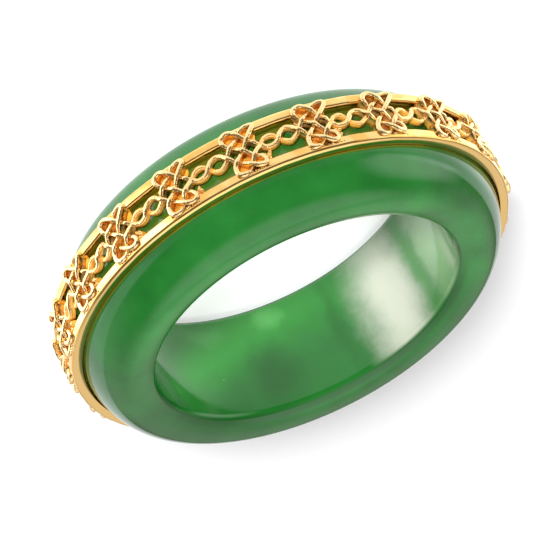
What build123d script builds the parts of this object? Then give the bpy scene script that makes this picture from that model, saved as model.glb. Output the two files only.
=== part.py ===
from build123d import *
import os
from math import cos, pi, radians, sin

# A jade band ring with a gold filigree band on its crown.
# Millimetres. The ring lies on its side, with its axis on Z and its lower face on Z = 0.

# Jade band
bore_diameter = 17.3        # finger bore, a US size 7
jade_wall = 3.45            # from the bore to the crown of the dome
jade_width = 7.3            # along the finger
edge_run = 0.2              # comfort bevel at the bore, measured outwards
edge_drop = 0.3             # comfort bevel at the bore, measured along the axis
edge_bulge = 0.02           # how far that bevel is rounded out
side_fall = 0.28            # how far the bore's edge lies below the flat of the side
side_run = 1.1              # from the bore's edge out to the flat of the side
land_width = 0.3            # flat of the side, on which the ring rests

# Seat of the gold on the jade
band_width = 3.08           # gold band, along the finger
band_offset = -0.175        # middle of the gold band from the middle of the jade
seat_depth = 0.08           # flat seat below the crown of the jade
seat_gap = 0.05             # clearance below the gold

# Rails
rail_height = 0.57          # from the underside to the top of a rail
rail_width = 0.57
rail_round = 0.2            # rounding of a rail's outer edge
rail_chamfer = 0.05         # chamfer of its inner edge

# Knots
knot_pitch = 3.97           # from knot to knot, along the top of the rails
first_knot_angle = 4.0      # degrees, from the front (-Y) towards -X
knot_rise = 0.27            # how far a knot stands above the rails
knot_length = 1.9           # from ear to ear
wire = 0.2                  # width of a strand
loop_radius = 0.42          # outside of a corner loop
loop_spacing = 0.92         # between the middles of two corner loops, along the band
loop_floor = 0.3            # how far the floor inside a loop lies below the rails' top
cell_size = 0.36            # side of a woven cell, which stands on its corner
cell_spacing = 0.84         # between the middles of two opposite cells

# Eyelets between the knots
small_share = 0.47          # part of the way between two knots that the small eyelet takes
small_height = 0.86
large_height = 1.06
eyelet_drop = 0.05          # how far the eyelets' top lies below the rails' top
foot_lift = 0.03            # underside of knots above the underside of the rails
eyelet_lift = 0.1           # underside of eyelets above the underside of the rails

# Worked out from the sizes above
bore_radius = bore_diameter / 2
crown_radius = bore_radius + jade_wall
half_width = jade_width / 2
seat_radius = crown_radius - seat_depth
band_inner = seat_radius + seat_gap
rail_top = band_inner + rail_height
knot_top = rail_top + knot_rise
eyelet_top = rail_top - eyelet_drop
band_middle = half_width + band_offset
knot_count = round(2 * pi * rail_top / knot_pitch)
pitch_angle = 360 / knot_count
arc_per_degree = radians(1) * rail_top


def jade_outline():
    """Upper half of the jade's section, as a line from the bore round to the crown."""
    bevel_foot = (bore_radius, half_width - side_fall - edge_drop)
    bevel_edge = (bore_radius + edge_run, half_width - side_fall)
    land_inner = (bevel_edge[0] + side_run, half_width)
    land_outer = (land_inner[0] + land_width, half_width)
    bore = Line((bore_radius, 0), bevel_foot)
    bevel = SagittaArc(bevel_foot, bevel_edge, edge_bulge)
    side = TangentArc(land_inner, bevel_edge, tangent=(-1, 0))
    land = Line(land_inner, land_outer)
    dome = EllipticalCenterArc(
        (land_outer[0], 0), crown_radius - land_outer[0], half_width, arc_size=90)
    return bore + bevel + side + land + dome


def ring_of(section):
    """Turn a section drawn as radius and height round the ring's axis."""
    return revolve(Plane.XZ * section, axis=Axis.Z)


def block_ring(inner, outer, low, high):
    """A plain ring of rectangular section."""
    section = Pos((inner + outer) / 2, (low + high) / 2) * Rectangle(outer - inner, high - low)
    return ring_of(section)


def make_jade():
    """The turned stone, with its crown cut flat below the gold."""
    half = jade_outline()
    section = make_face(half + mirror(half, about=Plane.XZ))
    body = Pos(0, 0, half_width) * ring_of(section)
    return body - block_ring(seat_radius, crown_radius + seat_depth, 0, jade_width)


def make_rail(side):
    """One rail. side is 1 for the upper rail and -1 for the lower one."""
    outer = band_middle + side * band_width / 2
    inner = outer - side * rail_width
    edge = JernArc((rail_top - rail_round, outer), (1, 0), rail_round, -side * 90)
    sides = Polyline(
        (rail_top, outer - side * rail_round), (rail_top, inner + side * rail_chamfer),
        (rail_top - rail_chamfer, inner), (band_inner, inner), (band_inner, outer),
        (rail_top - rail_round, outer))
    return ring_of(make_face(edge + sides))


def on_band(angle, shape, low, high):
    """A prism that stands on the band at an angle, between two distances from the axis.

    Its shape is drawn as seen from outside, with the angle growing to the right and the
    lower rail on top.
    """
    a = radians(angle)
    outward = (-sin(a), -cos(a), 0)
    along = (-cos(a), sin(a), 0)
    origin = (outward[0] * low, outward[1] * low, band_middle)
    return Plane(origin, x_dir=along, z_dir=outward).location * extrude(shape, high - low)


def corners(x, y, shape):
    """A shape at the four corners of a rectangle round the middle of a knot."""
    return [Pos(sx * x, sy * y) * shape for sx in (-1, 1) for sy in (-1, 1)]


loop_lift = band_width / 2 - loop_radius    # corner loops from the middle, across the band


def knot_outline():
    tip = knot_length / 2
    lattice = make_face(Polyline((tip, 0), (0, loop_lift), (-tip, 0), (0, -loop_lift), close=True))
    ears = Rectangle(knot_length, 2 * wire)
    outline = lattice + ears
    for loop in corners(loop_spacing / 2, loop_lift, Circle(loop_radius)):
        outline += loop
    return outline


def knot_pockets():
    """Loops and cells that end on the knot's floor."""
    cell = Rectangle(cell_size, cell_size).rotate(Axis.Z, 45)
    loops = corners(loop_spacing / 2, loop_lift, Circle(loop_radius - wire))
    return loops + [Pos(0, side * cell_spacing / 2) * cell for side in (-1, 1)]


def knot_holes():
    """Cells that go right through, so that the jade shows."""
    cell = Rectangle(cell_size, cell_size).rotate(Axis.Z, 45)
    return [Pos(side * cell_spacing / 2, 0) * cell for side in (-1, 1)]


def eyelet(length, height):
    """A ring of wire, longer than its place by half a wire at each end."""
    long_radius = length / 2 + wire / 2
    outer = Ellipse(long_radius, height / 2)
    return outer - Ellipse(long_radius - wire, height / 2 - wire)


def make_gold():
    chain = arc_per_degree * pitch_angle - knot_length
    small = chain * small_share
    large = chain - small
    small_turn = (knot_length / 2 + small / 2) / arc_per_degree
    large_turn = (knot_length / 2 + small + large / 2) / arc_per_degree
    raised = []
    cuts = []
    for index in range(knot_count):
        angle = first_knot_angle + index * pitch_angle
        raised.append(on_band(angle, knot_outline(), band_inner + foot_lift, knot_top))
        raised.append(on_band(angle + small_turn, eyelet(small, small_height),
                              band_inner + eyelet_lift, eyelet_top))
        raised.append(on_band(angle + large_turn, eyelet(large, large_height),
                              band_inner + eyelet_lift, eyelet_top))
        for pocket in knot_pockets():
            cuts.append(on_band(angle, pocket, rail_top - loop_floor, knot_top + knot_rise))
        for hole in knot_holes():
            cuts.append(on_band(angle, hole, band_inner - seat_gap, knot_top + knot_rise))
    body = make_rail(1).fuse(make_rail(-1), *raised)
    return body.cut(*cuts)


def write(node, shape):
    export_step(shape, os.path.join("parts", node + ".step"))
    print(node, "volume", round(shape.volume, 3), "solids", len(shape.solids()))


os.makedirs("parts", exist_ok=True)
write("jade_band", make_jade())
write("gold_filigree_band", make_gold())
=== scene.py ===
import math
import random

import bpy
import numpy as np
from mathutils import Matrix, Vector


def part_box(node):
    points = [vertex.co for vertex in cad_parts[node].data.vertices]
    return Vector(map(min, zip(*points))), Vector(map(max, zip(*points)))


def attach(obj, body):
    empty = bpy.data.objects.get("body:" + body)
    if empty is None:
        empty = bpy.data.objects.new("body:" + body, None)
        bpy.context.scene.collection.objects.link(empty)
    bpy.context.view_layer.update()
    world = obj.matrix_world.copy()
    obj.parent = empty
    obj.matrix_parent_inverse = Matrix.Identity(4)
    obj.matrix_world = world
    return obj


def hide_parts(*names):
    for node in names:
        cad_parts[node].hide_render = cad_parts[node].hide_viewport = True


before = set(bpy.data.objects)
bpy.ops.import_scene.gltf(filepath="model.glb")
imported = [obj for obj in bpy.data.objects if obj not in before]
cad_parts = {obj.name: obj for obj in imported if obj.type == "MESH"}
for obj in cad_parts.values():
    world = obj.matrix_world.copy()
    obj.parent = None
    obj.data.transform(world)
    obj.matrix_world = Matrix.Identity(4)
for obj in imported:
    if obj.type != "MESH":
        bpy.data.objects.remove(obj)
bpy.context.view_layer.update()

# A jade band ring lying on its side, with a gold filigree band on its crown.
# Sizes are in millimetres, and MM turns them into the frame's metres.

MM = 0.001

# Band, read from the frame
gold_low, gold_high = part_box("gold_filigree_band")
jade_low, jade_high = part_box("jade_band")
band_width = (gold_high.z - gold_low.z) / MM
band_middle = (gold_high.z + gold_low.z) / 2 / MM
jade_width = (jade_high.z - jade_low.z) / MM

# Jade
bore_radius = 8.65
jade_wall = 3.45
edge_run = 0.2              # comfort bevel at the bore
edge_drop = 0.3
edge_bulge = 0.02
side_fall = 0.28            # how far the bore's edge lies below the flat of the side
side_run = 1.1
land_width = 0.3
seat_depth = 0.08
edge_soft = 0.035           # rounding of the jade's polished edges
jade_turns = 480            # steps round the jade

# Rails
seat_gap = 0.05
rail_height = 0.57
rail_width = 0.57
rail_round = 0.2            # rounding of a rail's outer edge
upper_rail_soft = 0.05      # rounding of the upper rail's inner edge
lower_rail_soft = 0.15      # and of the lower rail's
lip_width = 0.26            # outer part of a rail, which runs on beside the knots
edge_step = 0.02            # short step beside an edge, which keeps the shading flat there
rail_turns = 1600           # steps round a rail
dip_reach = 0.82            # half of the stretch at a knot where a rail's inner part is let down
dip_middle = 0.05           # middle of that stretch, along the band from the knot's middle
dip_run = 0.08              # over which the rail goes down
dip_depth = 0.02            # how far below the knot's floor it then lies

# Slight waves of a rail's top: height, number round the ring, phase.
RAIL_WAVES = [
    (0.006, 37, 1),
    (0.004, 61, 2),
]

# Knots and strands
knot_rise = 0.27
knot_count = 20
first_knot_angle = 4.0      # degrees, from the front (-Y) towards -X
loop_floor = 0.3
foot_lift = 0.03
wire = 0.125                # half width of a strand's top
link_depth = 0.34           # of a strand between two knots, from its top
path_step = 0.05            # between two sections of a strand
point_drift = 0.015         # how far a strand's points stray along, across and down
point_lift = 0.01           # and up
girth_range = (0.94, 1.08)

crown_radius = bore_radius + jade_wall
half_width = jade_width / 2
seat_radius = crown_radius - seat_depth
band_inner = seat_radius + seat_gap
rail_top = band_inner + rail_height
floor_top = rail_top - loop_floor
strand_foot = band_inner + foot_lift
pitch_angle = 2 * math.pi / knot_count
pitch = rail_top * pitch_angle

# One pass of a strand through a knot, seen from outside with the angle growing to the right
# and the lower rail on top: along the band, across it, height above the rails' top as a share
# of a knot's rise, half width as a share of the wire's. The middle of the knot is 0, 0.
RISING_PASS = [
    (-0.92, 0.06, 0.1, 1.0),
    (-0.70, 0.34, 0.6, 1.0),
    (-0.50, 0.55, 1.0, 1.0),
    (-0.22, 0.78, 0.6, 0.9),
    (0.07, 1.03, 0.1, 0.9),
    (0.27, 1.23, 0.4, 0.9),
    (0.58, 1.34, 0.6, 0.9),
    (0.90, 1.30, 0.75, 1.0),
    (0.96, 1.15, 0.9, 1.1),
    (0.74, 0.90, 1.0, 1.1),
    (0.47, 0.62, 1.0, 1.1),
    (0.20, 0.36, 0.6, 1.0),
    (-0.02, 0.12, 0.15, 0.9),
    (-0.25, -0.13, 0.6, 0.9),
    (-0.47, -0.36, 1.0, 1.0),
    (-0.68, -0.63, 0.75, 1.1),
    (-0.72, -0.93, 0.7, 1.2),
    (-0.58, -1.18, 0.7, 1.2),
    (-0.28, -1.21, 0.6, 1.0),
    (-0.05, -1.05, 0.25, 0.9),
    (0.12, -0.86, 0.1, 0.9),
    (0.30, -0.61, 0.6, 1.0),
    (0.48, -0.38, 1.0, 1.1),
    (0.72, -0.13, 0.6, 1.1),
]
FALLING_PASS = [
    (-0.92, 0.10, 0.8, 1.0),
    (-0.70, -0.13, 0.5, 0.9),
    (-0.47, -0.36, 0.1, 0.9),
    (-0.20, -0.61, 0.6, 0.9),
    (0.12, -0.86, 1.0, 1.0),
    (0.42, -1.09, 1.0, 1.1),
    (0.74, -1.11, 0.8, 1.1),
    (0.90, -0.90, 0.6, 1.0),
    (0.82, -0.65, 0.5, 0.9),
    (0.62, -0.49, 0.3, 0.9),
    (0.45, -0.35, 0.1, 0.9),
    (0.20, -0.11, 0.5, 0.9),
    (-0.02, 0.12, 0.9, 1.0),
    (-0.25, 0.32, 0.6, 0.9),
    (-0.50, 0.55, 0.15, 0.9),
    (-0.72, 0.78, 0.6, 1.0),
    (-0.80, 1.06, 0.8, 1.1),
    (-0.68, 1.26, 0.9, 1.1),
    (-0.42, 1.34, 0.9, 1.0),
    (-0.18, 1.25, 1.0, 1.0),
    (0.07, 1.03, 1.0, 1.0),
    (0.30, 0.76, 0.6, 1.0),
    (0.47, 0.58, 0.15, 0.9),
    (0.70, 0.34, 0.5, 0.9),
]
# The same strands on their way to the next knot, which twist round each other twice.
# After a rising pass a strand runs below the small eyelet and above the large one.
LOWER_LINK = [
    (0.96, 0.03, 0.1, 1.1),
    (1.22, -0.11, -0.25, 1.1),
    (1.54, -0.15, -0.2, 1.2),
    (1.82, -0.06, 0.0, 1.2),
    (2.02, 0.18, 0.2, 1.2),
    (2.22, 0.44, 0.0, 1.1),
    (2.53, 0.57, -0.2, 1.0),
    (2.82, 0.42, 0.2, 1.0),
]
UPPER_LINK = [
    (0.96, 0.18, -0.2, 1.0),
    (1.22, 0.41, -0.3, 1.0),
    (1.54, 0.49, -0.3, 1.1),
    (1.82, 0.40, -0.5, 1.0),
    (2.02, 0.18, -0.8, 0.9),
    (2.22, -0.10, -0.5, 1.0),
    (2.53, -0.24, -0.3, 1.0),
    (2.82, -0.12, -0.2, 1.0),
]
# Floors inside a knot's loops and cells: along, across, radius.
KNOT_FLOORS = [
    (-0.38, 0.96, 0.38),
    (0.56, 0.97, 0.40),
    (-0.30, -0.92, 0.40),
    (0.60, -0.84, 0.36),
    (0.00, 0.56, 0.26),
    (0.00, -0.40, 0.26),
]
# Patches of small cast lumps beside a knot: from and to along the band, from and to across it,
# how far they lie below the rails' top, number of lumps.
GRANULE_PATCHES = [
    (-0.80, 1.10, -1.32, -1.22, 0.02, 16),
    (0.92, 1.25, -1.10, -0.40, 0.12, 14),
    (-0.90, -0.70, 0.15, 0.60, 0.12, 5),
]
granule_radii = (0.05, 0.11)
granule_dips = (0.02, 0.08)     # how much lower still a lump's round top begins


def on_band(angle, along, across, height):
    """A place on the band: angle of the knot, way along and across from it, distance from axis."""
    turn = angle + along / rail_top
    return Vector((
        -height * math.sin(turn), -height * math.cos(turn), band_middle - across)) * MM


def knot_angle(index):
    return math.radians(first_knot_angle) + index * pitch_angle


def new_piece(name, vertices, faces, material, node=None):
    """A smooth mesh. With a node it rides on the ring's only body and stands for that node."""
    mesh = bpy.data.meshes.new(name)
    mesh.from_pydata([tuple(v) for v in vertices], [], faces)
    mesh.validate()
    mesh.shade_smooth()
    mesh.materials.append(material)
    piece = bpy.data.objects.new(name, mesh)
    bpy.context.scene.collection.objects.link(piece)
    if node:
        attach(piece, "root")
        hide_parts(node)
    return piece


def gold_piece(name, vertices, faces, material):
    return new_piece(name, vertices, faces, material, "gold_filigree_band")


def ring_faces(first, count, size, closed=False):
    """Faces between count rings of size points each. A closed row joins its last ring to its first."""
    faces = []
    for ring in range(count if closed else count - 1):
        here = first + ring * size
        there = first + (ring + 1) % count * size
        for k in range(size):
            m = (k + 1) % size
            faces.append((here + k, here + m, there + m, there + k))
    return faces


def rounded(corners, radius, steps=4):
    """A closed outline of (radius, height) points with each corner rounded by a small curve."""
    straight = 0.12         # sine of the turn below which a corner stays as it is
    most = 1 / 2.2          # share of a short side that one corner's curve may take
    outline = []
    count = len(corners)
    for index, corner in enumerate(corners):
        here = np.array(corner)
        before = np.array(corners[index - 1]) - here
        after = np.array(corners[(index + 1) % count]) - here
        side_before = np.linalg.norm(before)
        side_after = np.linalg.norm(after)
        start = here + before / side_before * min(radius, side_before * most)
        end = here + after / side_after * min(radius, side_after * most)
        if abs(np.cross(before, after)) / side_before / side_after < straight:
            outline.append(here)
            continue
        for step in range(steps + 1):
            t = step / steps
            outline.append((1 - t) ** 2 * start + 2 * t * (1 - t) * here + t * t * end)
    return outline


def turned(outline, turns, change=None):
    """Vertices and faces of a closed outline turned round the axis.

    change(radius, height, turn) may move a point of the outline at a turn.
    """
    vertices = []
    for step in range(turns):
        turn = 2 * math.pi * step / turns
        for radius, height in outline:
            if change:
                radius, height = change(radius, height, turn)
            vertices.append((
                -radius * math.sin(turn) * MM, -radius * math.cos(turn) * MM, height * MM))
    return vertices, ring_faces(0, turns, len(outline), closed=True)


def jade_outline():
    """The jade's section, closed, from the bore's lower edge round the bore and the dome."""
    bevel_foot = (bore_radius, half_width - side_fall - edge_drop)
    bevel_edge = (bore_radius + edge_run, half_width - side_fall)
    slope = math.hypot(edge_run, edge_drop)
    bevel_middle = (
        (bevel_foot[0] + bevel_edge[0]) / 2 - edge_bulge * edge_drop / slope,
        (bevel_foot[1] + bevel_edge[1]) / 2 + edge_bulge * edge_run / slope)
    land_inner = bevel_edge[0] + side_run
    land_outer = land_inner + land_width
    dome_run = crown_radius - land_outer
    side_round = (side_run ** 2 + side_fall ** 2) / (2 * side_fall)
    half = [(bore_radius, 0), (bore_radius, bevel_foot[1] / 2), bevel_foot, bevel_middle]
    steps = 10
    for step in range(steps + 1):
        out = side_run * (1 - step / steps)
        fall = side_round - math.sqrt(side_round ** 2 - out ** 2)
        half.append((land_inner - out, half_width - fall))
    last = math.asin((seat_radius - land_outer) / dome_run)
    steps = 40
    for step in range(steps + 1):
        lean = last * step / steps
        half.append((land_outer + dome_run * math.sin(lean), half_width * math.cos(lean)))
    upper = [(r, half_width + z) for r, z in half]
    lower = [(r, half_width - z) for r, z in half[1:]]
    return rounded(upper + lower[::-1], edge_soft)


def smooth_path(points, step):
    """Even steps along a closed smooth curve through the points."""
    points = np.array(points, float)
    dense = []
    parts = 12
    count = len(points)
    for index in range(count):
        p0, p1, p2, p3 = (points[(index + k) % count] for k in (-1, 0, 1, 2))
        for part in range(parts):
            t = part / parts
            dense.append(0.5 * (
                2 * p1 + (p2 - p0) * t + (2 * p0 - 5 * p1 + 4 * p2 - p3) * t ** 2
                + (3 * p1 - p0 - 3 * p2 + p3) * t ** 3))
    dense = np.array(dense)
    closed = np.vstack([dense, dense[:1]])
    lengths = np.linalg.norm(np.diff(closed[:, :3], axis=0), axis=1)
    way = np.concatenate([[0], np.cumsum(lengths)])
    total = way[-1]
    wanted = np.linspace(0, total, max(8, int(total / step)), endpoint=False)
    return np.stack([np.interp(wanted, way, closed[:, k]) for k in range(closed.shape[1])], 1)


def strand_section(girth, depth):
    """A round wire on a wall that widens to its foot. Gives across and height from the top."""
    half = wire * girth
    foot = 1.1 * half
    waist = 0.8 * half
    waist_drop = 1.7 * half
    crown = 0.95 * half     # height of the round top
    fullness = 0.85         # below 1 the top is a little fuller than a circle
    points = [(foot, -depth), (waist, -waist_drop)]
    steps = 12
    for step in range(steps + 1):
        a = math.pi * step / steps
        points.append((math.cos(a) * half, (math.sin(a) ** fullness - 1) * crown))
    points += [(-waist, -waist_drop), (-foot, -depth)]
    return points


def swept(path):
    """Vertices and faces of a closed strand. path rows are x, y, z in mm, a girth and a depth."""
    places = path[:, :3]
    ahead = np.roll(places, -1, axis=0) - np.roll(places, 1, axis=0)
    outward = places * np.array([1, 1, 0])
    height = np.linalg.norm(outward, axis=1, keepdims=True)
    outward = outward / height
    side = np.cross(outward, ahead)
    side /= np.linalg.norm(side, axis=1, keepdims=True)
    vertices = []
    count = len(places)
    for index in range(count):
        depth = min(path[index, 4], height[index, 0] - strand_foot)
        for across, lift in strand_section(path[index, 3], depth):
            vertices.append((places[index] + side[index] * across + outward[index] * lift) * MM)
    return vertices, ring_faces(0, count, len(vertices) // count, closed=True)


def make_strand(name, first_rises, material):
    """One closed strand, which takes the rising pass in every other knot."""
    chance = random.Random(name)
    points = []
    for index in range(knot_count):
        rises = (index % 2 == 0) == first_rises
        knot = RISING_PASS if rises else FALLING_PASS
        link = LOWER_LINK if rises else UPPER_LINK
        for row, (along, across, lift, girth) in enumerate(knot + link):
            place = on_band(
                knot_angle(index), along + chance.uniform(-point_drift, point_drift),
                across + chance.uniform(-point_drift, point_drift),
                rail_top + lift * knot_rise + chance.uniform(-point_drift, point_lift)) / MM
            depth = rail_height if row < len(knot) else link_depth
            points.append((*place, girth * chance.uniform(*girth_range), depth))
    vertices, faces = swept(smooth_path(points, path_step))
    return gold_piece(name, vertices, faces, material)


def round_post(index, along, across, section, turns):
    """Points of a round post on the band at a knot. section rows are radius and height."""
    vertices = []
    for radius, height in section:
        for step in range(turns):
            a = 2 * math.pi * step / turns
            vertices.append(on_band(
                knot_angle(index), along + radius * math.cos(a),
                across + radius * math.sin(a), height))
    return vertices


def make_knot_floors(name, material):
    """Round floors inside the loops and cells, a little below the rails' top."""
    vertices = []
    faces = []
    turns = 20
    for index in range(knot_count):
        for along, across, radius in KNOT_FLOORS:
            first = len(vertices)
            section = [(radius, strand_foot), (radius, floor_top)]
            vertices += round_post(index, along, across, section, turns)
            faces.append(tuple(first + k for k in range(turns)))
            faces.append(tuple(first + turns + k for k in range(turns)))
            faces += ring_faces(first, len(section), turns)
    return gold_piece(name, vertices, faces, material)


def lump_section(radius, low):
    """A post that ends in a round top, which begins at the height low."""
    section = [(radius * 1.1, strand_foot)]
    rings = 4
    for ring in range(rings):
        lean = 0.5 * math.pi * ring / rings
        section.append((radius * math.cos(lean), low + radius * math.sin(lean)))
    return section


def make_granules(name, material):
    """Small cast lumps beside the knots."""
    chance = random.Random(name)
    vertices = []
    faces = []
    turns = 10
    for index in range(knot_count):
        for left, right, bottom, top, drop, lumps in GRANULE_PATCHES:
            for lump in range(lumps):
                along = left + (right - left) * (lump + chance.uniform(0, 1)) / lumps
                across = chance.uniform(bottom, top)
                radius = chance.uniform(*granule_radii)
                low = rail_top - drop - chance.uniform(*granule_dips)
                first = len(vertices)
                section = lump_section(radius, low)
                vertices += round_post(index, along, across, section, turns)
                vertices.append(on_band(knot_angle(index), along, across, low + radius))
                faces += ring_faces(first, len(section), turns)
                tip = first + len(section) * turns
                last = tip - turns
                faces += [(last + k, last + (k + 1) % turns, tip) for k in range(turns)]
    return gold_piece(name, vertices, faces, material)


def rail_change(side):
    """How a rail's section changes on its way round: it is let down below each knot's loops."""
    outer = band_middle + side * band_width / 2

    def change(radius, height, turn):
        steps = (turn - math.radians(first_knot_angle)) / pitch_angle
        along = (steps - round(steps)) * pitch
        dip = max(0.0, min(1.0, (dip_reach - abs(along - dip_middle)) / dip_run))
        if radius > band_inner + 0.1:
            radius += sum(rise * math.sin(turn * count + phase * side)
                          for rise, count, phase in RAIL_WAVES)
        if abs(height - outer) > lip_width + 0.01:
            above = 0.05    # more than the waves, so that the top is free between the knots
            radius = min(radius, rail_top + above - dip * (above + loop_floor + dip_depth))
        return radius, height
    return change


def rail_outline(side, soft):
    """A rail's section, closed, from its outer foot over the top to its inner foot."""
    outer = band_middle + side * band_width / 2
    foot = [(band_inner, edge_step), (band_inner + edge_step, 0),
            (rail_top - rail_round - edge_step, 0)]
    edge = []
    steps = 8
    for step in range(steps + 1):
        a = 0.5 * math.pi * step / steps
        edge.append((
            rail_top - rail_round * (1 - math.sin(a)), rail_round * (1 - math.cos(a))))
    lip = [(rail_top, lip_width), (rail_top, lip_width + 0.015)]
    inner = [(rail_top, rail_width - soft - edge_step)]
    steps = 5
    for step in range(steps + 1):
        a = 0.5 * math.pi * step / steps
        inner.append((
            rail_top - soft * (1 - math.cos(a)), rail_width - soft * (1 - math.sin(a))))
    inner.append((band_inner, rail_width))
    return [(radius, outer - side * inward) for radius, inward in foot + edge + lip + inner]


def make_rail(name, side, soft, material):
    vertices, faces = turned(rail_outline(side, soft), rail_turns, rail_change(side))
    return gold_piece(name, vertices, faces, material)


def shader(name):
    """A new material, its node tree and its Principled shader."""
    material = bpy.data.materials.new(name)
    material.use_nodes = True
    nodes = material.node_tree.nodes
    return material, material.node_tree, nodes["Principled BSDF"]


def add(tree, kind, **values):
    """A node, with its sockets and settings set by name."""
    node = tree.nodes.new(kind)
    for key, value in values.items():
        if key in node.inputs:
            node.inputs[key].default_value = value
        else:
            setattr(node, key, value)
    return node


def smoothed(tree, value, start, end, low=0.0, high=1.0):
    """A smooth step of a socket's value from low at start to high at end."""
    step = add(tree, "ShaderNodeMapRange", interpolation_type="SMOOTHSTEP")
    if start > end:
        start, end, low, high = end, start, high, low
    step.inputs["From Min"].default_value = start
    step.inputs["From Max"].default_value = end
    step.inputs["To Min"].default_value = low
    step.inputs["To Max"].default_value = high
    tree.links.new(value, step.inputs["Value"])
    return step.outputs["Result"]


def smoothed_mm(tree, value, start, end, low=0.0, high=1.0):
    """The same for a socket in metres, with start and end in mm."""
    return smoothed(tree, value, start * MM, end * MM, low, high)


def math_of(tree, operation, first, second):
    """A Math node between sockets or numbers."""
    node = add(tree, "ShaderNodeMath", operation=operation)
    for socket, value in zip(node.inputs, (first, second)):
        if isinstance(value, (int, float)):
            socket.default_value = value
        else:
            tree.links.new(value, socket)
    return node.outputs["Value"]


def product(tree, first, *others):
    for other in others:
        first = math_of(tree, "MULTIPLY", first, other)
    return first


def mixed(tree, share, first, second, blend="MIX"):
    """A colour mixed from two colours or sockets."""
    node = add(tree, "ShaderNodeMix", data_type="RGBA", blend_type=blend)
    for socket, value in zip((node.inputs[0], node.inputs[6], node.inputs[7]),
                             (share, first, second)):
        if isinstance(value, (int, float, tuple)):
            socket.default_value = value
        else:
            tree.links.new(value, socket)
    return node.outputs[2]


def vector_of(tree, operation, vector, fixed=None):
    """A Vector Math node on a socket and, where it takes two, a fixed vector."""
    node = add(tree, "ShaderNodeVectorMath", operation=operation)
    tree.links.new(vector, node.inputs[0])
    if fixed:
        node.inputs[1].default_value = fixed
    return node.outputs["Value" if operation in ("LENGTH", "DOT_PRODUCT") else "Vector"]


def from_axis(tree, place):
    """A place's distance from the upright axis."""
    return vector_of(tree, "LENGTH", vector_of(tree, "MULTIPLY", place, (1, 1, 0)))


def toward(tree, place, azimuth):
    """Cosine of the angle between a place's level direction and an azimuth (0 is -Y, 90 is -X)."""
    a = math.radians(azimuth)
    level = vector_of(tree, "NORMALIZE", vector_of(tree, "MULTIPLY", place, (1, 1, 0)))
    return vector_of(tree, "DOT_PRODUCT", level, (-math.sin(a), -math.cos(a), 0))


def noise(tree, place, scale, detail, roughness=0.5):
    node = add(tree, "ShaderNodeTexNoise", Scale=scale, Detail=detail, Roughness=roughness)
    tree.links.new(place, node.inputs["Vector"])
    return node


def grained(tree, bsdf, place, scale, strength, depth):
    """Fine unevenness of a surface, with its depth in mm."""
    bump = add(tree, "ShaderNodeBump", Strength=strength, Distance=depth * MM)
    tree.links.new(noise(tree, place, scale, 2.0).outputs["Fac"], bump.inputs["Height"])
    tree.links.new(bump.outputs["Normal"], bsdf.inputs["Normal"])


# Colours of the jade, and of the light and shade painted on it
jade_deep = (0.004, 0.070, 0.009, 1)
jade_light = (0.010, 0.120, 0.017, 1)
thin_glow_factor = (1.5, 1.7, 1.6, 1)        # how much lighter the stone is painted where it is thin, for light shining through
# painted shade along the bore's edge
edge_shade_green = (0.002, 0.045, 0.005, 1)
# painted reflection of the gold in the seat
mirror_olive = (0.14, 0.10, 0.004, 1)
fleck_pale = (0.25, 0.42, 0.24, 1)

# Where they change: mm from the axis for the painted glow where the stone is thin,
# and for the painted edge shade mm outwards from the bore
thin_outer = 11.0
thin_inner = 10.0
dark_start = 0.06
dark_full = 0.2
dark_fade = 0.3
dark_end = 0.75
dark_strength = 0.7

# Clouds and veins of the stone that show on the wall of the bore, with painted light among them: the
# pale and bright patches stand partly for painted reflections in the polished wall and painted light
# shining through the stone. Degrees from the back, height in mm, half width in degrees, half height
# in mm, colour, strength.
BORE_CLOUDS_AND_LIGHT = [
    (58, 2.2, 42, 6.0, (0.020, 0.290, 0.024), 0.85),
    (28, 0.6, 80, 4.2, (0.018, 0.190, 0.020), 0.85),
    (18, 6.0, 60, 3.4, (0.004, 0.085, 0.008), 0.7),
    (20, 4.9, 14, 3.0, (0.002, 0.050, 0.004), 0.7),
    (-9, 3.6, 4, 4.6, (0.003, 0.070, 0.005), 0.6),
    (14, 1.4, 9, 1.1, (0.090, 0.340, 0.090), 0.5),
    (42, 1.5, 14, 0.9, (0.070, 0.300, 0.070), 0.5),
    (-70, 3.4, 32, 7.0, (0.270, 0.430, 0.235), 0.95),
    (-33, 4.4, 22, 8.0, (0.400, 0.420, 0.350), 1.0),
    (-49, 3.6, 7, 7.0, (0.020, 0.160, 0.020), 0.75),
]
sway_turn = 5               # how far noise moves a cloud, in degrees
sway_height = 0.8           # and in mm


def stone_tone(tree, place):
    """Slow clouds between a deep and a lighter green."""
    tone = add(tree, "ShaderNodeValToRGB")
    deep, light = tone.color_ramp.elements
    deep.position = 0.3
    deep.color = jade_deep
    light.position = 0.72
    light.color = jade_light
    tree.links.new(noise(tree, place, 260.0, 3.0, 0.55).outputs["Fac"], tone.inputs["Fac"])
    return tone.outputs["Color"]


def bore_spot(tree, parts, sway):
    """Degrees from the back and height in mm, disturbed by noise."""
    turn = math_of(tree, "ARCTAN2", parts.outputs["X"], parts.outputs["Y"])
    spot = add(tree, "ShaderNodeCombineXYZ")
    tree.links.new(math_of(tree, "DEGREES", turn, 0), spot.inputs["X"])
    tree.links.new(math_of(tree, "DIVIDE", parts.outputs["Z"], MM), spot.inputs["Y"])
    swayed = add(tree, "ShaderNodeVectorMath", operation="MULTIPLY_ADD")
    swayed.inputs[1].default_value = (2 * sway_turn, 2 * sway_height, 0)
    tree.links.new(sway.outputs["Color"], swayed.inputs[0])
    tree.links.new(spot.outputs["Vector"], swayed.inputs[2])
    return swayed.outputs["Vector"]


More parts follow.
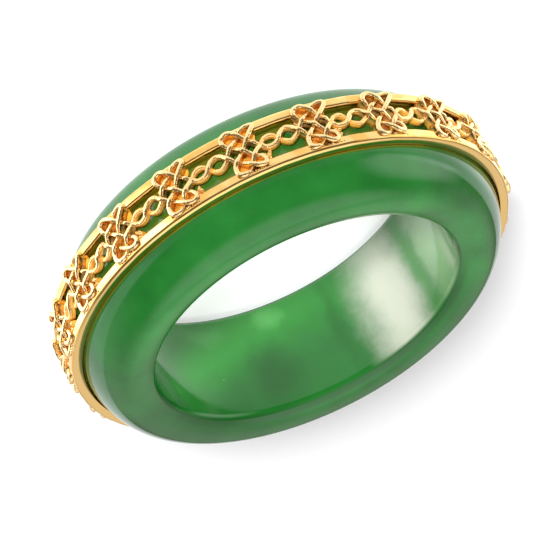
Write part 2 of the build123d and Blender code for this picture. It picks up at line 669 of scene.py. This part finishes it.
def clouded_and_lit(tree, colour, spot, inside):
    """The colour with the clouds of the bore's wall and their painted light laid over it, each a soft
    oval.
    """
    for degrees, height, half_turn, half_height, tint, strength in BORE_CLOUDS_AND_LIGHT:
        middle = (degrees + sway_turn, height + sway_height, 0)
        away = vector_of(tree, "DIVIDE", vector_of(tree, "SUBTRACT", spot, middle),
                         (half_turn, half_height, 1))
        share = smoothed(tree, vector_of(tree, "LENGTH", away), 1.0, 0.1, 0, strength)
        colour = mixed(tree, product(tree, share, inside), colour, (*tint, 1))
    return colour


def painted_edge_shade(tree, place, apart, outside):
    """Painted shade along the bore's edge: a thin line all round, and broad at the back."""
    broad = product(
        tree, smoothed_mm(tree, apart, bore_radius + dark_start, bore_radius + dark_full),
        smoothed_mm(tree, apart, bore_radius + dark_end, bore_radius + dark_fade,
                    0, dark_strength),
        smoothed(tree, toward(tree, place, 180), 0.0, 0.5))
    line = smoothed_mm(tree, apart, bore_radius + dark_fade, bore_radius + dark_full,
                       0, dark_strength)
    return math_of(tree, "MAXIMUM", broad, product(tree, line, outside))


def gold_mirrored(tree, parts, apart, sway):
    """Patches of painted reflection of the gold in the seat, strongest beside the rails."""
    height = math_of(tree, "SUBTRACT", parts.outputs["Z"], band_middle * MM)
    off_middle = math_of(tree, "ABSOLUTE", height, 0)
    on_seat = smoothed_mm(tree, apart, seat_radius - 0.12, seat_radius - 0.04)
    beside_rails = smoothed_mm(tree, off_middle, 0.3, 0.9, 0.25, 0.8)
    below_gold = smoothed_mm(tree, off_middle, band_width / 2 + 0.07, band_width / 2)
    patches = smoothed(tree, sway.outputs["Fac"], 0.35, 0.6, 0.35, 1.0)
    return product(tree, on_seat, beside_rails, below_gold, patches)


def flecks(tree, place):
    """A few small specks."""
    cells = add(tree, "ShaderNodeTexVoronoi", Scale=600.0)
    tree.links.new(place, cells.inputs["Vector"])
    few = smoothed(tree, cells.outputs["Color"], 0.62, 0.66)
    speck = smoothed(tree, cells.outputs["Distance"], 0.05, 0.025, 0, 0.7)
    return product(tree, few, speck)


def jade_material():
    """Cloudy green stone: painted glow where thin, painted shade at the bore's edge, painted gold
    reflection.
    """
    material, tree, bsdf = shader("jade")
    place = add(tree, "ShaderNodeTexCoord").outputs["Object"]
    parts = add(tree, "ShaderNodeSeparateXYZ")
    tree.links.new(place, parts.inputs[0])
    sway = noise(tree, place, 500.0, 6.0, 0.65)
    apart = from_axis(tree, place)
    inside = smoothed_mm(tree, apart, bore_radius + edge_run, bore_radius + 0.03)
    outside = math_of(tree, "SUBTRACT", 1.0, inside)
    tone = stone_tone(tree, place)
    # Painted light: the stone is lighter where it is thin, on the front half, as light shines through
    # it
    thin = product(tree, smoothed_mm(tree, apart, thin_outer, thin_inner),
                   smoothed(tree, toward(tree, place, front_middle), -0.6, 0.4), outside)
    colour = mixed(tree, thin, tone, mixed(tree, 1.0, tone, thin_glow_factor, "MULTIPLY"))
    # Clouds of the stone on the bore's wall, with painted light among them.
    colour = clouded_and_lit(tree, colour, bore_spot(tree, parts, sway), inside)
    # Painted shade along the bore's edge.
    colour = mixed(tree, painted_edge_shade(tree, place, apart, outside), colour, edge_shade_green)
    # Painted reflection of the gold in the seat.
    colour = mixed(tree, gold_mirrored(tree, parts, apart, sway), colour, mirror_olive)
    colour = mixed(tree, flecks(tree, place), colour, fleck_pale)
    tree.links.new(colour, bsdf.inputs["Base Color"])
    bsdf.inputs["Roughness"].default_value = 0.09
    bsdf.inputs["IOR"].default_value = 1.52
    return material


# Colours of the gold, and of the light painted deep in its knots
rail_yellow = (0.97, 0.66, 0.25, 1)
rail_dull = (0.84, 0.46, 0.10, 1)       # in patches on the rails' tops
strand_yellow = (1.0, 0.73, 0.35, 1)
painted_bounce_orange = (0.92, 0.46, 0.06, 1)    # deep inside the knots: painted light bounced between the gold walls


def polished_gold():
    """Gold of the rails, with duller patches on their flat tops."""
    material, tree, bsdf = shader("gold_polished")
    place = add(tree, "ShaderNodeTexCoord").outputs["Object"]
    on_top = smoothed_mm(
        tree, from_axis(tree, place), rail_top - 0.12, rail_top - 0.02, 0, 0.7)
    patches = smoothed(tree, noise(tree, place, 700.0, 3.0, 0.55).outputs["Fac"], 0.60, 0.42)
    tone = mixed(tree, product(tree, patches, on_top), rail_yellow, rail_dull)
    tree.links.new(tone, bsdf.inputs["Base Color"])
    bsdf.inputs["Metallic"].default_value = 1.0
    bsdf.inputs["Roughness"].default_value = 0.14
    grained(tree, bsdf, place, 2200.0, 0.14, 0.02)
    return material


def cast_gold():
    """Gold of the strands: bright on top, duller towards the jade and painted deeper orange there as
    bounce light.
    """
    material, tree, bsdf = shader("gold_cast")
    place = add(tree, "ShaderNodeTexCoord").outputs["Object"]
    apart = from_axis(tree, place)
    height = smoothed_mm(tree, apart, floor_top, rail_top + 0.05)
    # Painted light: deeper orange low in the knots, for light bounced between the gold walls.
    tree.links.new(mixed(tree, height, painted_bounce_orange, strand_yellow), bsdf.inputs["Base Color"])
    rough = smoothed_mm(tree, apart, floor_top, rail_top, 0.35, 0.16)
    tree.links.new(rough, bsdf.inputs["Roughness"])
    metal = smoothed_mm(tree, apart, floor_top, rail_top, 0.35, 1.0)
    tree.links.new(metal, bsdf.inputs["Metallic"])
    grained(tree, bsdf, place, 6500.0, 0.75, 0.05)
    return material


# Studio
lamp_azimuth = 86           # middle of a wide soft lamp, level with the ring
lamp_elevation = -2
lamp_strength = 1.7
overhead_strength = 1.3
behind_strength = 0.62
beside_azimuth = -115       # a low pale stretch of the surroundings
beside_strength = 0.45
room_colour = (0.19, 0.155, 0.125, 1)
near_glow = 0.6             # glow of the floor below the ring
glow_inner = 12             # the floor glows evenly as far out as this
glow_outer = 17             # and no more from here on
side_glow = 2.5             # more glow on the floor at both sides of the front
front_middle = 17           # azimuth of the middle of the dimmer front
floor_pale = (0.74, 0.76, 0.79, 1)
floor_dim = (0.25, 0.25, 0.25, 1)    # far away at the front, out of the camera's sight
far_glow = 1.3              # glow far away below the lamp, out of its sight too


def floor_material():
    """White, and lit from below where the ring lies, as on a light table."""
    material, tree, bsdf = shader("floor_white")
    place = add(tree, "ShaderNodeTexCoord").outputs["Object"]
    apart = from_axis(tree, place)
    turn = toward(tree, place, front_middle)
    far_front = product(tree, smoothed_mm(tree, apart, 44, 58), smoothed(tree, turn, 0.2, 0.7))
    tree.links.new(mixed(tree, far_front, floor_pale, floor_dim), bsdf.inputs["Base Color"])
    near = smoothed_mm(tree, apart, glow_outer, glow_inner, 0, near_glow)
    beside = product(
        tree, smoothed(tree, turn, 0.80, 0.68), smoothed(tree, turn, -0.42, -0.09),
        smoothed(tree, toward(tree, place, 90), 0.3, -0.3, 0.55, 1.0),
        smoothed_mm(tree, apart, 13, 20), smoothed_mm(tree, apart, 42, 18, 0, side_glow))
    far = product(tree, smoothed(tree, toward(tree, place, lamp_azimuth), 0.88, 0.96),
                  smoothed_mm(tree, apart, 55, 90, 0, far_glow))
    glow = math_of(tree, "ADD", math_of(tree, "ADD", near, beside), far)
    tree.links.new(glow, bsdf.inputs["Emission Strength"])
    bsdf.inputs["Emission Color"].default_value = (1, 1, 1, 1)
    bsdf.inputs["Roughness"].default_value = 0.9
    bsdf.inputs["Specular IOR Level"].default_value = 0.1
    return material


def make_floor():
    """A round floor, finer near the ring and far larger than the picture."""
    turns = 96
    rings = (12, 24, 40, 600)
    vertices = [(0, 0, 0)]
    for radius in rings:
        for step in range(turns):
            turn = 2 * math.pi * step / turns
            vertices.append((radius * math.cos(turn) * MM, radius * math.sin(turn) * MM, 0))
    faces = [(0, 1 + k, 1 + (k + 1) % turns) for k in range(turns)]
    for ring in range(len(rings) - 1):
        for step in range(turns):
            here = 1 + ring * turns + step
            ahead = 1 + ring * turns + (step + 1) % turns
            faces.append((here, here + turns, ahead + turns, ahead))
    floor = new_piece("floor", vertices, faces, floor_material())
    floor.location.z = -0.01 * MM


def direction(azimuth, elevation):
    """A unit vector. Azimuth 0 is the front, towards -Y, and 90 is towards -X."""
    a, e = math.radians(azimuth), math.radians(elevation)
    return Vector((-math.sin(a) * math.cos(e), -math.cos(a) * math.cos(e), math.sin(e)))


def make_world():
    """A studio with a wide soft light overhead, a paler back, a lamp and dim surroundings."""
    world = bpy.data.worlds.new("studio")
    bpy.context.scene.world = world
    world.use_nodes = True
    tree = world.node_tree
    back = tree.nodes["Background"]
    place = add(tree, "ShaderNodeTexCoord").outputs["Generated"]
    parts = add(tree, "ShaderNodeSeparateXYZ")
    tree.links.new(place, parts.inputs[0])
    rise = parts.outputs["Z"]
    overhead = smoothed(tree, rise, 0.65, 0.95, 0, overhead_strength)
    behind = product(tree, smoothed(tree, toward(tree, place, 180), -0.1, 0.85),
                     smoothed(tree, rise, -0.1, 0.45, 0, behind_strength))
    beside = product(tree, smoothed(tree, toward(tree, place, beside_azimuth), 0.70, 0.98),
                     smoothed(tree, rise, 0.55, 0.0, 0, beside_strength))
    wall = math_of(tree, "MAXIMUM", overhead, math_of(tree, "ADD", behind, beside))
    lamp = vector_of(tree, "DOT_PRODUCT", place, direction(lamp_azimuth, lamp_elevation))
    white = math_of(tree, "ADD", wall, smoothed(tree, lamp, 0.83, 0.98, 0, lamp_strength))
    tree.links.new(mixed(tree, 1.0, room_colour, white, "ADD"), back.inputs["Color"])
    back.inputs["Strength"].default_value = 1.0


def make_light(name, azimuth, elevation, spread, strength):
    """A far soft light. It isn't mirrored in the ring, as one behind a large diffuser isn't."""
    data = bpy.data.lights.new(name, "SUN")
    data.angle = math.radians(spread)
    data.energy = strength
    light = bpy.data.objects.new(name, data)
    light.rotation_mode = "QUATERNION"
    light.rotation_quaternion = direction(azimuth, elevation).to_track_quat("Z", "Y")
    light.visible_glossy = False
    bpy.context.scene.collection.objects.link(light)


# Camera, from the ellipses of the bore's two edges in the photograph
camera_elevation = 28.02    # degrees above the floor
camera_roll = 63.18         # degrees from the picture's horizontal down to the ring's axis
camera_distance = 209.8     # from the middle of the bore's upper edge
picture_width = 29.51       # what the picture spans at that distance
edge_height = 7.0           # of the bore's upper edge above the floor
edge_right = 1.573          # that middle in the picture, right of the picture's middle
edge_down = 2.171           # and below it
sensor_width = 36


def make_camera():
    lean, roll = math.radians(camera_elevation), math.radians(camera_roll)
    view = Vector((0, -math.cos(lean), math.sin(lean)))
    rise = Vector((0, math.sin(lean), math.cos(lean)))
    left = Vector((-1, 0, 0))
    right = left * math.sin(roll) + rise * math.cos(roll)
    up = left * math.cos(roll) - rise * math.sin(roll)
    middle = Vector((0, 0, edge_height))
    place = middle + view * camera_distance
    aim = middle - right * edge_right + up * edge_down
    back = (place - aim).normalized()
    right = up.cross(back).normalized()
    up = back.cross(right)
    data = bpy.data.cameras.new("camera")
    data.sensor_width = sensor_width
    data.lens = sensor_width * camera_distance / picture_width
    data.clip_start = 10 * MM
    data.clip_end = 3000 * MM
    camera = bpy.data.objects.new("camera", data)
    turn = Matrix((right, up, back)).transposed().to_4x4()
    camera.matrix_world = Matrix.Translation(place * MM) @ turn
    bpy.context.scene.collection.objects.link(camera)
    bpy.context.scene.camera = camera


rail_gold = polished_gold()
strand_gold = cast_gold()
vertices, faces = turned(jade_outline(), jade_turns)
new_piece("jade_stone", vertices, faces, jade_material(), "jade_band")
make_rail("rail_upper", 1, upper_rail_soft, rail_gold)
make_rail("rail_lower", -1, lower_rail_soft, rail_gold)
make_strand("strand_one", True, strand_gold)
make_strand("strand_two", False, strand_gold)
make_knot_floors("knot_floors", strand_gold)
make_granules("granules", strand_gold)
make_floor()
make_world()
make_light("key", azimuth=-4, elevation=22, spread=12, strength=5.7)
make_light("fill", azimuth=180, elevation=65, spread=60, strength=0.25)
make_camera()
bpy.context.scene.view_settings.view_transform = "Standard"
